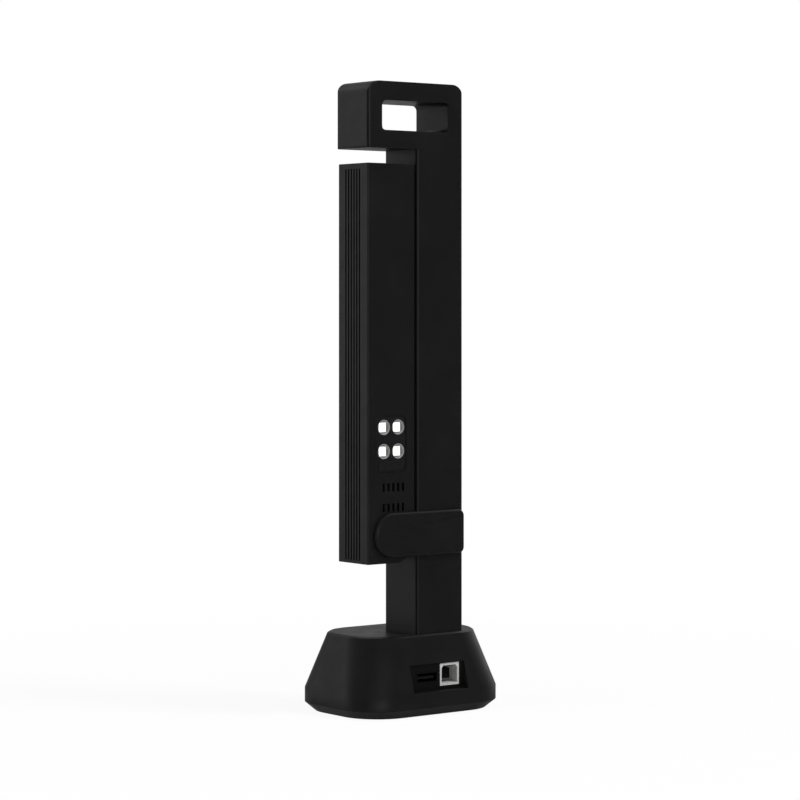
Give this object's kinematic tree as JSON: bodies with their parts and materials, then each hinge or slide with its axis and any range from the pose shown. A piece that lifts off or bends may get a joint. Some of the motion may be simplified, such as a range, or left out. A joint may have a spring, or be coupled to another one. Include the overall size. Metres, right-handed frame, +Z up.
{
  "type": "overhead document scanner",
  "caption": "Black overhead document scanner, folded: weighted base with sockets, upright with carrying handle, and a ribbed lamp arm that swings out on a round-ended hinge plate",
  "frame": {"origin": "on the desk, under the middle of the base", "axes": "+Z up; -Y is the side with the lamps and sockets; -X is the side that the arm swings to"},
  "size_m": [0.09, 0.0654, 0.3095],
  "materials": {
    "black_plastic": "fine moulded satin black",
    "foot_rubber": "matt",
    "fastener_steel": "plain zinc",
    "weight_iron": "raw",
    "circuit_board": "green solder mask",
    "socket_nickel": "bright nickel plate",
    "socket_dark": "dark plate",
    "tongue_plastic": "matt black",
    "washer_plastic": "natural acetal",
    "reflector_silver": "satin silvered",
    "emitter_white": "white lamp face",
    "window_black": "smoked gloss",
    "lens_glass": "clear coated"
  },
  "bodies": {
    "stand": {"base_shell": "black_plastic", "base_plate": "black_plastic", "rubber_feet": "foot_rubber", "base_screws": "fastener_steel", "ballast_weight": "weight_iron", "port_board": "circuit_board", "square_socket": "socket_nickel", "square_socket_tongue": "tongue_plastic", "flat_socket": "socket_dark", "flat_socket_tongue": "tongue_plastic", "upright_body": "black_plastic", "upright_bolts": "fastener_steel", "upright_cover": "black_plastic", "cover_screws": "fastener_steel", "hinge_plate": "black_plastic", "hinge_screws": "fastener_steel", "hinge_pin": "fastener_steel", "friction_washer": "washer_plastic", "spring_washer": "fastener_steel", "hinge_nut": "fastener_steel"},
    "arm": {"arm_body": "black_plastic", "arm_cover": "black_plastic", "arm_end_cap": "black_plastic", "arm_screws": "fastener_steel", "hinge_cap": "black_plastic", "lamp_panel": "black_plastic", "lamp_reflectors": "reflector_silver", "lamp_emitters": "emitter_white", "lamp_board": "circuit_board", "camera_window": "window_black", "camera_lens": "lens_glass", "speaker": "tongue_plastic", "arm_board": "circuit_board"}
  },
  "joints": [
    {"name": "arm_hinge", "type": "hinge", "parent": "stand", "child": "arm", "pos_m": [-0.0234, -0.0118, 0.08855], "axis": [0, -1, 0], "range_deg": [0, 90]}
  ]
}
